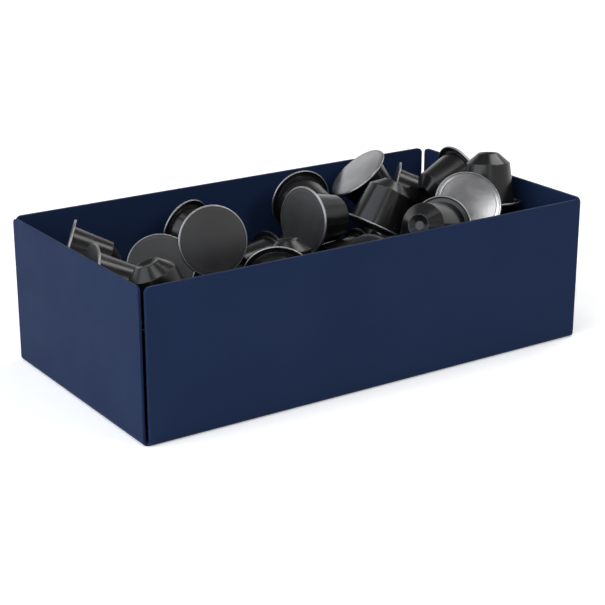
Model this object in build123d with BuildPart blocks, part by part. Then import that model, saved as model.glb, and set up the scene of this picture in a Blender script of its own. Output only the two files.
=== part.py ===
from build123d import *

import os
from math import cos, radians, sin

import numpy as np

# Millimetres. Origin under the middle of the tray, X along its length, front wall at -Y
# Open tray, folded from one steel sheet
tray_length = 275.0
tray_width = 142.0
tray_height = 80.0
sheet_thickness = 1.5
bend_inside_radius = 1.0
corner_setback = 2.5
wall_corner_radius = 3.0

# Capsule: a drawn cup with a rolled flange rim, a foil lid on the flange and coffee inside
flange_diameter = 37.0
rim_roll_diameter = 1.1
cup_wall = 0.4
mouth_diameter = 30.0
shoulder_diameter = 24.6
shoulder_depth = 5.5
nose_diameter = 11.6
cup_height = 28.0
dish_diameter = 4.4
dish_depth = 1.6
lid_thickness = 0.3
lid_bulge = 0.4
lid_setback = 0.5
coffee_clearance = 0.2

# Lowest layer: capsules standing on their lids, in rows that wander a little
resting_gap = 0.35
wall_gap = 0.6
row_spare = 1.5
row_wander = 5.0
row_wander_phase = (1.9, 2.2)

# Inner length and width of the tray that the places of the loose capsules are given for
layout_span = (272.0, 139.0)

# Buried capsules, as x and y of the middle, then tilt from nose up and heading of the nose, in degrees
buried_layout = [
    (-103, 19, 90, 190),
    (-116, -27, 90, 0),
    (-60, -13, 90, 185),
    (-20, -26, 140, 200),
    (17, -9, 90, 175),
    (30, 31, 90, 5),
    (70, 25, 90, 190),
    (116, 25, 90, 175),
    (116, -18, 90, 270),
    (62, -25, 90, 10),
    (-20, 22, 90, 185),
    (26, -42, 90, 20),
    (-77, -56, 90, 90),
]

# Capsules on top, in the order they were dropped in: x and y of the lid's middle, then tilt and heading
top_layout = [
    (-69, 34, 125, 65),
    (-40, 57, 98, -75),
    (-127.5, 4.5, 108, -15),
    (-120, 43, 107, -30),
    (-65, -15, 104, 78),
    (-107, -42, 20, 150),
    (-21, -22.5, 10, 100),
    (-44, -46, 103, -125),
    (33, 52, 95, -96),
    (0, 0, 96, 7),
    (100, 54, 106, -37),
    (67, 43, 141, -18),
    (51.5, 5.5, 31, 3),
    (126, 21, 110, 180),
    (117, -15, 8, 60),
    (57, -47, 70, -155),
    (82, -39.5, 128, 66),
]

# Sizes that follow from the ones above
bend_outside_radius = bend_inside_radius + sheet_thickness
inner_length = tray_length - 2 * sheet_thickness
inner_width = tray_width - 2 * sheet_thickness
flange_half = flange_diameter / 2
mouth_half = mouth_diameter / 2
shoulder_half = shoulder_diameter / 2
shoulder_height = cup_height - shoulder_depth
nose_half = nose_diameter / 2
dish_half = dish_diameter / 2
rim_roll = rim_roll_diameter / 2
lid_half = flange_half - lid_setback
lid_stand = lid_thickness + lid_bulge

# How finely a capsule's skin is sampled when its resting height is worked out
rim_samples = 150
side_samples = 72
side_rings = 8
near_margin = 1.0
step_least = 0.05
rest_tolerance = 0.02


def ring(radius, height, count):
    """Points evenly spaced around a capsule's axis."""
    turn = np.linspace(0, 2 * np.pi, count, endpoint=False)
    return np.column_stack([radius * np.cos(turn), radius * np.sin(turn), np.full(count, height)])


def mirrored(half_outline):
    """Closed outline of a turned shape from the corners on one side of its axis."""
    half = np.array(half_outline)
    return np.vstack([half, half[::-1] * (-1, 1)])


def outline_distance(points, corners):
    """Distance from section points to a convex outline, negative inside it."""
    ahead = np.roll(corners, -1, axis=0) - corners
    offsets = points[:, None] - corners
    share = np.clip((offsets * ahead).sum(-1) / (ahead**2).sum(-1), 0, 1)
    nearest = np.linalg.norm(offsets - share[..., None] * ahead, axis=-1).min(1)
    outside = (ahead[:, 0] * offsets[..., 1] < ahead[:, 1] * offsets[..., 0]).any(1)
    return np.where(outside, nearest, -nearest)


flange_corners = [
    (lid_half / 2, -lid_stand),
    (lid_half, -lid_thickness),
    (flange_half, 0),
    (flange_half, rim_roll_diameter),
]
flange_outline = mirrored(flange_corners)
body_corners = [(mouth_half, 0), (shoulder_half, shoulder_height), (nose_half, cup_height)]
body_outline = mirrored(body_corners)
skin_rings = [ring(radius, height, rim_samples) for radius, height in flange_corners]
for (low_radius, low), (high_radius, high) in zip(body_corners, body_corners[1:]):
    for share in np.linspace(0, 1, side_rings + 1)[1:]:
        radius = low_radius + share * (high_radius - low_radius)
        skin_rings.append(ring(radius, low + share * (high - low), side_samples))
skin = np.vstack(skin_rings)
reach = np.hypot(flange_half, cup_height / 2 + lid_stand)


class Capsule:
    """One capsule as it lies: the middle of its lid, and its axis from lid to nose."""

    def __init__(self, x, y, tilt, heading, placed_by_middle=False):
        lean = sin(radians(tilt))
        ahead = np.array([cos(radians(heading)), sin(radians(heading)), 0.0])
        self.axis = lean * ahead + np.array([0.0, 0.0, cos(radians(tilt))])
        self.side = np.array([-ahead[1], ahead[0], 0.0])
        self.turn = np.column_stack([self.side, np.cross(self.axis, self.side), self.axis])
        self.lid = np.array([x, y, 0.0])
        if placed_by_middle:
            self.lid -= self.axis * cup_height / 2

    def surface(self):
        return skin @ self.turn.T + self.lid

    def middle(self):
        return self.lid + self.axis * cup_height / 2

    def gap_to(self, points):
        local = (points - self.lid) @ self.turn
        section = np.column_stack([np.hypot(local[:, 0], local[:, 1]), local[:, 2]])
        return min(outline_distance(section, outline).min() for outline in (flange_outline, body_outline))

    def section_plane(self):
        """Plane through the axis: its X runs out from the lid's middle and its Y from lid to nose."""
        normal = np.cross(self.side, self.axis)
        return Plane(origin=tuple(self.lid), x_dir=tuple(self.side), z_dir=tuple(normal))

    def keep_off_walls(self):
        for along, inside in ((0, inner_length), (1, inner_width)):
            room = inside / 2 - wall_gap
            surface = self.surface()[:, along]
            self.lid[along] += max(0, -room - surface.min()) - max(0, surface.max() - room)

    def drop_onto(self, others):
        """Lower the capsule from above the tray until it rests on the base or on a capsule below it."""
        self.keep_off_walls()
        below = [other for other in others if np.hypot(*(other.middle() - self.middle())[:2]) < 2 * reach]
        self.lid[2] = 2 * tray_height + len(others) * flange_half
        gap = np.inf
        while gap > resting_gap + rest_tolerance:
            surface = self.surface()
            gap = surface[:, 2].min() - sheet_thickness
            for other in below:
                apart = np.linalg.norm(other.middle() - self.middle()) - 2 * reach
                if apart > near_margin:
                    gap = min(gap, apart)
                else:
                    gap = min(gap, other.gap_to(surface), self.gap_to(other.surface()))
            if gap > resting_gap + rest_tolerance:
                self.lid[2] -= max(step_least, gap - resting_gap)


def standing_rows():
    """Capsules standing on their lids, in as many rows and columns as the base takes."""
    pitch = flange_diameter + row_spare
    columns = int(inner_length // pitch)
    rows = int(inner_width // pitch)
    half_length = inner_length / 2 - flange_half - wall_gap
    half_width = inner_width / 2 - flange_half - wall_gap
    for column, x in enumerate(np.linspace(-half_length, half_length, columns)):
        for row, y in enumerate(np.linspace(-half_width, half_width, rows)):
            sway = row_wander * sin(row_wander_phase[0] * column + row_wander_phase[1] * row)
            yield Capsule(x, y + sway, 0, 0)


def spread(layout):
    """The places in a layout, moved apart with the walls of the tray."""
    for x, y, tilt, heading in layout:
        yield x * inner_length / layout_span[0], y * inner_width / layout_span[1], tilt, heading


def pile():
    """Every capsule in the tray, each dropped onto those before it, the top ones last."""
    laid = []
    lying = [Capsule(*place, placed_by_middle=True) for place in spread(buried_layout)]
    buried = list(standing_rows()) + lying
    top = [Capsule(*place) for place in spread(top_layout)]
    for capsule in buried + top:
        capsule.drop_onto(laid)
        laid.append(capsule)
    return buried, top


def make_tray():
    """Base and four walls in one sheet, with an open slit at each upright corner."""
    with BuildPart() as tray:
        for plane, span, run in (
            (Plane.YZ, tray_width, tray_length - 2 * corner_setback),
            (Plane.XZ, tray_length, tray_width - 2 * corner_setback),
        ):
            with BuildSketch(plane):
                for inset, radius in ((0, bend_outside_radius), (sheet_thickness, bend_inside_radius)):
                    half = span / 2 - inset
                    with BuildLine():
                        rims = [(-half, tray_height), (half, tray_height)]
                        FilletPolyline(rims[0], (-half, inset), (half, inset), rims[1], radius=radius)
                        Line(*rims)
                    make_face(mode=Mode.SUBTRACT if inset else Mode.ADD)
            extrude(amount=run / 2, both=True)
        ends = tray.edges().group_by(Axis.Z)[-1].filter_by(lambda edge: edge.length < 2 * sheet_thickness)
        fillet(ends, wall_corner_radius)
    return tray


def make_cup(plane):
    """Thin drawn cup: flat flange with a rolled rim, tapered side, sloping shoulder and a dished nose."""
    outer = [
        (0, 0),
        (flange_half - rim_roll, 0),
        (flange_half - rim_roll, cup_wall),
        (mouth_half, cup_wall),
        (shoulder_half, shoulder_height),
        (nose_half, cup_height),
        (dish_half, cup_height - dish_depth),
        (0, cup_height - dish_depth),
    ]
    inner = [
        (0, 0),
        (mouth_half - cup_wall, 0),
        (shoulder_half - cup_wall, shoulder_height - cup_wall / 2),
        (nose_half - cup_wall / 2, cup_height - cup_wall),
        (dish_half - cup_wall / 2, cup_height - dish_depth - cup_wall),
        (0, cup_height - dish_depth - cup_wall),
    ]
    with BuildPart() as cup:
        with BuildSketch(plane):
            with BuildLine():
                Polyline(*outer, close=True)
            make_face()
            with Locations((flange_half - rim_roll, rim_roll)):
                Circle(rim_roll)
            with BuildLine():
                Polyline(*inner, close=True)
            make_face(mode=Mode.SUBTRACT)
        revolve(axis=Axis(plane.origin, plane.y_dir))
    return cup


def make_lid(plane):
    """Foil disc sealed on the flange, pushed out a little in the middle."""
    with BuildPart() as lid:
        with BuildSketch(plane):
            with BuildLine():
                Line((0, -lid_bulge), (0, -lid_stand))
                TangentArc((0, -lid_stand), (lid_half, -lid_thickness), tangent=(1, 0))
                Polyline((lid_half, -lid_thickness), (lid_half, 0), (mouth_half, 0))
                TangentArc((0, -lid_bulge), (mouth_half, 0), tangent=(1, 0))
            make_face()
        revolve(axis=Axis(plane.origin, plane.y_dir))
    return lid


def make_coffee(plane):
    """Ground coffee that fills the cup up to its lid."""
    inset = cup_wall + coffee_clearance
    slope = (shoulder_half - nose_half) / (cup_height - shoulder_height)
    top = cup_height - dish_depth - inset
    shoulder_top = shoulder_height - inset / 2
    end_half = shoulder_half - inset - slope * (top - shoulder_top)
    with BuildPart() as coffee:
        with BuildSketch(plane):
            with BuildLine():
                Polyline(
                    (0, 0),
                    (mouth_half - inset, 0),
                    (shoulder_half - inset, shoulder_top),
                    (end_half, top),
                    (0, top),
                    close=True,
                )
            make_face()
        revolve(axis=Axis(plane.origin, plane.y_dir))
    return coffee


def write(piece, name):
    piece.part.label = name
    export_step(piece.part, f"parts/{name}.step")


os.makedirs("parts", exist_ok=True)
write(make_tray(), "folded_tray")
buried, top = pile()
makers = {"cup": make_cup, "lid": make_lid, "coffee": make_coffee}
for number, capsule in enumerate(top, 1):
    for piece_name, make in makers.items():
        write(make(capsule.section_plane()), f"capsule_{number:02d}_{piece_name}")
for piece_name, make in makers.items():
    pieces = [make(capsule.section_plane()).part for capsule in buried]
    with BuildPart() as buried_pieces:
        add(pieces)
    write(buried_pieces, f"buried_{piece_name}")
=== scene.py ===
from math import radians

import bpy
import numpy as np
from mathutils import Euler, Matrix, Vector

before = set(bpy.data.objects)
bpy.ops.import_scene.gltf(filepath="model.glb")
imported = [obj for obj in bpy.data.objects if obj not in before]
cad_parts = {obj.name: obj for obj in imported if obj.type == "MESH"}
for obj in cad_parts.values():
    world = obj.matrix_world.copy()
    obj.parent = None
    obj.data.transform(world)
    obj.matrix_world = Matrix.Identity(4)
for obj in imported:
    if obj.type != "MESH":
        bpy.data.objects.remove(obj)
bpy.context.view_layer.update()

scene = bpy.context.scene
scene.view_settings.view_transform = "Standard"

# Capsules on top of the heap, and those of them with a pale foil lid, by number
top_numbers = range(1, 18)
pale_lids = (12, 17)

# Distances from a capsule's axis, in metres
rim_inner = 0.0179
rim_outer = 0.0182
foil_cut_inner = 0.0177
foil_cut_outer = 0.0179
groove_radius = 0.0174
groove_half_width = 0.0004
seal_radius = 0.0158
seal_half_width = 0.0007

# Corners of a lid beyond this share of its radius lie on its round edge
lid_edge_share = 0.97

# Radius of a lid's bulge and of the rounded edges, in metres
foil_dome_radius = 0.2
tray_edge_radius = 0.0007
cup_edge_radius = 0.0008
lid_edge_radius = 0.0003
edge_samples = 6

# Colours
navy_deep = (0.0132, 0.0248, 0.063, 1)
navy_light = (0.0148, 0.0272, 0.069, 1)
navy_worn = (0.06, 0.085, 0.15, 1)
lacquer_deep = (0.005, 0.005, 0.0052, 1)
lacquer_light = (0.008, 0.008, 0.0083, 1)
bare_rim = (0.28, 0.28, 0.288, 1)
pale_foil_deep = (0.22, 0.22, 0.225, 1)
pale_foil_light = (0.32, 0.32, 0.326, 1)
dark_foil_deep = (0.02, 0.02, 0.021, 1)
dark_foil_light = (0.029, 0.029, 0.03, 1)
# Painted shade for the gap between a lid's foil and the rolled rim
groove_painted_shade = (0.008, 0.008, 0.008, 1)
bare_foil = (0.33, 0.33, 0.338, 1)
coffee_deep = (0.018, 0.008, 0.004, 1)
coffee_light = (0.075, 0.036, 0.017, 1)
floor_white = (0.93, 0.93, 0.93, 1)
pure_white = (1, 1, 1, 1)

# Light all round: an even fill, and a white surround that is darker overhead.
# The overhead part starts and ends at these heights of a direction of length 1.
fill_tint = (0.95, 0.96, 0.97, 1)
fill_strength = 0.23
overhead_start = 0.32
overhead_end = 0.65
surround_strength = 1.0
overhead_strength = 0.2

# Floor, in metres: its glow grows between two distances from the middle
floor_size = 6.0
glow_near = 0.3
glow_far = 2.4
glow_near_strength = 0.25
glow_far_strength = 1.0

# Lamps: name, place, width and height in metres, power in watts, tint
neutral = (1.0, 1.0, 1.0)
cool = (0.95, 1.0, 1.08)
lamps = (
    ("key_left", (-1.25, -0.05, 0.75), 1.9, 1.6, 20.8, cool),
    ("top_soft", (-0.25, -0.1, 1.5), 1.2, 0.4, 5.0, neutral),
    ("front_right", (0.46, -1.01, 0.98), 0.4, 0.5, 4.4, neutral),
    ("front_left", (-0.5, -1.05, 0.75), 0.25, 0.6, 1.2, neutral),
    ("right_high", (0.77, 0.07, 1.16), 0.35, 0.9, 5.0, neutral),
)

# Camera: place in metres, degrees below level, degrees of heading from +X, lens and sensor in mm
camera_place = (-0.4642, -0.6904, 0.3178)
camera_dip = 19.33
camera_heading = 56.10
camera_lens = 95.78
camera_sensor = 36.0


class Nodes:
    """A node tree with short ways to add and join nodes."""

    def __init__(self, tree):
        self.tree = tree
        tree.nodes.clear()

    def add(self, kind):
        return self.tree.nodes.new(kind)

    def put(self, value, socket):
        if isinstance(value, bpy.types.NodeSocket):
            self.tree.links.new(value, socket)
        else:
            socket.default_value = value

    def fill(self, node, **values):
        """Fill sockets by name, with _ for a space, and give the node's first output."""
        for key, value in values.items():
            self.put(value, node.inputs[key.replace("_", " ")])
        return node.outputs[0]

    def math(self, operation, a, b=0.0, c=0.0):
        node = self.add("ShaderNodeMath")
        node.operation = operation
        for value, socket in zip((a, b, c), node.inputs):
            self.put(value, socket)
        return node.outputs[0]

    def vector(self, operation, a, b=(0.0, 0.0, 0.0)):
        node = self.add("ShaderNodeVectorMath")
        node.operation = operation
        self.put(a, node.inputs[0])
        self.put(b, node.inputs[1])
        return node.outputs["Value"] if operation in ("DOT_PRODUCT", "LENGTH") else node.outputs[0]

    def ramp(self, value, low, high, to_low=0.0, to_high=1.0):
        node = self.add("ShaderNodeMapRange")
        node.interpolation_type = "SMOOTHSTEP"
        return self.fill(node, Value=value, From_Min=low, From_Max=high, To_Min=to_low, To_Max=to_high)

    def seen_white(self):
        """1 for rays from the camera, from reflections and through clear things, 0 for the light itself."""
        path = self.add("ShaderNodeLightPath").outputs
        seen = self.math("MAXIMUM", path["Is Camera Ray"], path["Is Glossy Ray"])
        return self.math("MAXIMUM", seen, path["Is Transmission Ray"])


class Surface(Nodes):
    """A material's node tree."""

    def __init__(self, name):
        self.material = bpy.data.materials.new(name)
        self.material.use_nodes = True
        super().__init__(self.material.node_tree)
        self.shader = self.add("ShaderNodeBsdfPrincipled")
        self.put(self.shader.outputs[0], self.add("ShaderNodeOutputMaterial").inputs[0])

    def set(self, **values):
        self.fill(self.shader, **values)

    def noise(self, at, scale, detail=3.0, rough=0.5):
        node = self.add("ShaderNodeTexNoise")
        return self.fill(node, Vector=at, Scale=scale, Detail=detail, Roughness=rough)

    def varied(self, at, scale, detail, low=0.0, high=1.0):
        """A value that wanders over the surface between low and high."""
        return self.ramp(self.noise(at, scale, detail), 0.3, 0.7, low, high)

    def mix(self, share, a, b):
        node = self.add("ShaderNodeMix")
        node.data_type = "RGBA"
        self.put(share, node.inputs["Factor"])
        for value, socket in zip((a, b), node.inputs[6:8]):
            self.put(value, socket)
        return node.outputs[2]

    def bump(self, height, strength, distance, normal=None):
        node = self.add("ShaderNodeBump")
        if normal is not None:
            self.put(normal, node.inputs["Normal"])
        return self.fill(node, Height=height, Strength=strength, Distance=distance)

    def soft_edges(self, radius):
        """Normal rounded over at the edges, and how far it turns there."""
        node = self.add("ShaderNodeBevel")
        node.samples = edge_samples
        rounded = self.fill(node, Radius=radius)
        flat = self.add("ShaderNodeNewGeometry").outputs["Normal"]
        along = self.vector("DOT_PRODUCT", rounded, flat)
        return rounded, self.ramp(along, low=0.98, high=0.75)

    def place(self):
        return self.add("ShaderNodeTexCoord").outputs["Object"]

    def capsule_place(self, capsule):
        """Place on a capsule: Z from its lid's middle towards its nose."""
        middle, turn = capsule
        node = self.add("ShaderNodeMapping")
        node.vector_type = "TEXTURE"
        return self.fill(node, Vector=self.place(), Location=middle, Rotation=turn)

    def from_axis(self, at):
        return self.vector("LENGTH", self.vector("MULTIPLY", at, (1.0, 1.0, 0.0)))

    def off_ring(self, out, radius):
        """Distance from a ring of this radius round the axis."""
        return self.math("ABSOLUTE", self.math("SUBTRACT", out, radius))

    def domed(self, capsule, at, radius):
        """Normal of a lid that bulges outwards evenly, as a ball of this radius."""
        turn = capsule[1]
        lean = self.vector("MULTIPLY", at, (1 / radius, 1 / radius, 0.0))
        outward = self.vector("ADD", lean, (0.0, 0.0, -1.0))
        node = self.add("ShaderNodeMapping")
        node.vector_type = "NORMAL"
        return self.fill(node, Vector=outward, Rotation=turn)


def corners(node):
    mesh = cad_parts[node].data
    found = np.empty(len(mesh.vertices) * 3)
    mesh.vertices.foreach_get("co", found)
    return found.reshape(-1, 3)


def capsule_frame(number):
    """Middle of a capsule's lid and the turn of its axis, read from its lid and cup."""
    points = corners(f"capsule_{number:02d}_lid")
    middle = points.mean(0)
    across = np.linalg.svd(points - middle, full_matrices=False)[2]
    axis = across[2]
    if axis @ (corners(f"capsule_{number:02d}_cup").mean(0) - middle) < 0:
        axis = -axis
    flat = (points - middle) @ across[:2].T
    out = np.hypot(*flat.T)
    edge = flat[out > lid_edge_share * out.max()]
    # The middle of the circle that fits the round edge best
    rows = np.column_stack([2 * edge, np.ones(len(edge))])
    solved = np.linalg.lstsq(rows, (edge**2).sum(1), rcond=None)[0]
    middle = middle + solved[:2] @ across[:2]
    side = across[0]
    turn = Matrix(np.column_stack([side, np.cross(axis, side), axis]).tolist())
    return tuple(middle), tuple(turn.to_euler())


def powder_coat():
    """Satin navy powder coat: fine orange peel, faint mottling, edges a little worn and paler."""
    surface = Surface("navy_powder_coat")
    at = surface.place()
    rounded, edge = surface.soft_edges(tray_edge_radius)
    tone = surface.mix(surface.varied(at, scale=14.0, detail=4.0), navy_deep, navy_light)
    rub = surface.ramp(surface.noise(at, scale=90.0, detail=5.0), 0.35, 0.65, to_low=0.25, to_high=0.7)
    worn = surface.math("MULTIPLY", edge, rub)
    grain = surface.math("MULTIPLY", surface.noise(at, scale=1500.0, detail=2.0), 0.4)
    peel = surface.math("ADD", surface.noise(at, scale=420.0, detail=2.0), grain)
    surface.set(
        Base_Color=surface.mix(worn, tone, navy_worn),
        Roughness=surface.varied(at, scale=60.0, detail=3.0, low=0.42, high=0.5),
        Specular_IOR_Level=0.02,
        Normal=surface.bump(peel, strength=0.12, distance=0.0002, normal=rounded),
    )
    return surface.material


def cup_coat(name, capsule=None):
    """Dark lacquered aluminium with small dents and rubbed edges.

    A top capsule also has drawn rings and a bare rim.
    """
    surface = Surface(name)
    at = surface.place()
    rounded, edge = surface.soft_edges(cup_edge_radius)
    if capsule:
        local = surface.capsule_place(capsule)
        bare = surface.ramp(surface.from_axis(local), rim_inner, rim_outer)
        stretched = surface.vector("MULTIPLY", local, (120.0, 120.0, 2600.0))
        drawn = surface.noise(stretched, scale=1.0, detail=2.0)
    else:
        bare = surface.math("MULTIPLY", edge, 0.5)
        drawn = surface.noise(at, scale=700.0, detail=2.0)
    rub = surface.ramp(surface.noise(at, scale=160.0, detail=6.0, rough=0.7), 0.52, 0.75)
    rubbed = surface.math("MULTIPLY", edge, surface.math("MULTIPLY", rub, 0.5))
    worn = surface.math("MAXIMUM", bare, rubbed)
    tone = surface.mix(surface.varied(at, scale=45.0, detail=3.0), lacquer_deep, lacquer_light)
    gloss = surface.varied(at, scale=110.0, detail=4.0, low=0.2, high=0.26)
    dents = surface.noise(at, scale=90.0, detail=2.0)
    height = surface.math("ADD", surface.math("MULTIPLY", drawn, 0.25), dents)
    surface.set(
        Base_Color=surface.mix(worn, tone, bare_rim),
        Metallic=surface.ramp(worn, 0.1, 0.7),
        Roughness=surface.math("MULTIPLY_ADD", bare, 0.15, gloss),
        Specular_IOR_Level=0.35,
        Normal=surface.bump(height, strength=0.06, distance=0.0003, normal=rounded),
    )
    return surface.material


def lid_coat(name, pale, capsule=None):
    """Foil with faint wrinkles.

    A top capsule also has a pressed seal ring, a ring of painted shade by the rim and a bare cut edge.
    """
    surface = Surface(name)
    at = surface.place()
    if pale:
        shades = (pale_foil_deep, pale_foil_light)
        metallic = 0.85
        smooth, rough = 0.2, 0.26
    else:
        shades = (dark_foil_deep, dark_foil_light)
        metallic = 0.1
        smooth, rough = 0.34, 0.44
    tone = surface.mix(surface.varied(at, scale=55.0, detail=4.0), *shades)
    height = surface.math("MULTIPLY", surface.noise(at, scale=140.0, detail=4.0, rough=0.6), 0.5)
    if capsule:
        local = surface.capsule_place(capsule)
        facing = surface.domed(capsule, local, foil_dome_radius)
        out = surface.from_axis(local)
        ring = surface.ramp(surface.off_ring(out, seal_radius), seal_half_width, 0.0)
        height = surface.math("ADD", height, ring)
        bare = surface.ramp(out, foil_cut_inner, foil_cut_outer)
        # Painted shade: a dark ring in place of the shadow in the gap between the foil and the rolled rim
        groove_shade = surface.ramp(surface.off_ring(out, groove_radius), groove_half_width, 0.0, to_high=0.7)
        tone = surface.mix(groove_shade, tone, groove_painted_shade)
    else:
        facing, bare = surface.soft_edges(lid_edge_radius)
    surface.set(
        Base_Color=surface.mix(bare, tone, bare_foil),
        Metallic=surface.ramp(bare, 0.2, 0.8, to_low=metallic, to_high=0.9),
        Roughness=surface.varied(at, scale=200.0, detail=3.0, low=smooth, high=rough),
        Normal=surface.bump(height, strength=0.12, distance=0.0003, normal=facing),
    )
    return surface.material


def ground_coffee():
    """Dark brown grounds."""
    surface = Surface("ground_coffee")
    grain = surface.noise(surface.place(), scale=1400.0, detail=4.0, rough=0.7)
    surface.set(
        Base_Color=surface.mix(surface.ramp(grain, 0.35, 0.65), coffee_deep, coffee_light),
        Roughness=surface.ramp(grain, 0.3, 0.7, to_low=0.75, to_high=0.95),
        Normal=surface.bump(grain, strength=0.6, distance=0.0006),
    )
    return surface.material


def coat(node, material):
    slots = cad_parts[node].data.materials
    slots.clear()
    slots.append(material)


def light_world():
    """An even fill, with a white surround for what is seen and reflected."""
    world = bpy.data.worlds.new("studio")
    scene.world = world
    world.use_nodes = True
    nodes = Nodes(world.node_tree)
    direction = nodes.add("ShaderNodeSeparateXYZ")
    nodes.put(nodes.add("ShaderNodeTexCoord").outputs["Generated"], direction.inputs[0])
    up = direction.outputs["Z"]
    strength = nodes.ramp(up, overhead_start, overhead_end, surround_strength, overhead_strength)
    shown = nodes.fill(nodes.add("ShaderNodeBackground"), Color=pure_white, Strength=strength)
    even = nodes.fill(nodes.add("ShaderNodeBackground"), Color=fill_tint, Strength=fill_strength)
    both = nodes.add("ShaderNodeMixShader")
    for value, socket in zip((nodes.seen_white(), even, shown), both.inputs):
        nodes.put(value, socket)
    nodes.put(both.outputs[0], nodes.add("ShaderNodeOutputWorld").inputs[0])


def lay_floor():
    bpy.ops.mesh.primitive_plane_add(size=floor_size, location=(0, 0, 0))
    floor = bpy.context.object
    floor.name = "floor"
    surface = Surface("pale_floor")
    distance = surface.vector("LENGTH", surface.place())
    away = surface.ramp(distance, glow_near, glow_far, glow_near_strength, glow_far_strength)
    surface.set(
        Base_Color=floor_white,
        Roughness=0.9,
        Specular_IOR_Level=0.1,
        Emission_Color=pure_white,
        Emission_Strength=surface.math("MULTIPLY", surface.seen_white(), away),
    )
    floor.data.materials.append(surface.material)


def strip_light(name, place, width, height, power, tint):
    data = bpy.data.lights.new(name, "AREA")
    data.shape = "RECTANGLE"
    data.size = width
    data.size_y = height
    data.energy = power
    data.color = tint
    lamp = bpy.data.objects.new(name, data)
    scene.collection.objects.link(lamp)
    lamp.location = place
    lamp.rotation_euler = (-Vector(place)).to_track_quat("-Z", "Y").to_euler()


coat("folded_tray", powder_coat())
grounds = ground_coffee()
coat("buried_coffee", grounds)
coat("buried_cup", cup_coat("buried_cup_lacquer"))
coat("buried_lid", lid_coat("buried_lid_foil", pale=False))
for number in top_numbers:
    name = f"capsule_{number:02d}"
    capsule = capsule_frame(number)
    coat(f"{name}_cup", cup_coat(f"{name}_lacquer", capsule))
    coat(f"{name}_lid", lid_coat(f"{name}_foil", number in pale_lids, capsule))
    coat(f"{name}_coffee", grounds)

light_world()
lay_floor()
for lamp in lamps:
    strip_light(*lamp)

view = bpy.data.cameras.new("camera")
view.lens = camera_lens
view.sensor_width = camera_sensor
view.sensor_fit = "HORIZONTAL"
camera = bpy.data.objects.new("camera", view)
scene.collection.objects.link(camera)
camera.location = camera_place
camera.rotation_euler = Euler((radians(90 - camera_dip), 0, radians(camera_heading - 90)), "XYZ")
scene.camera = camera
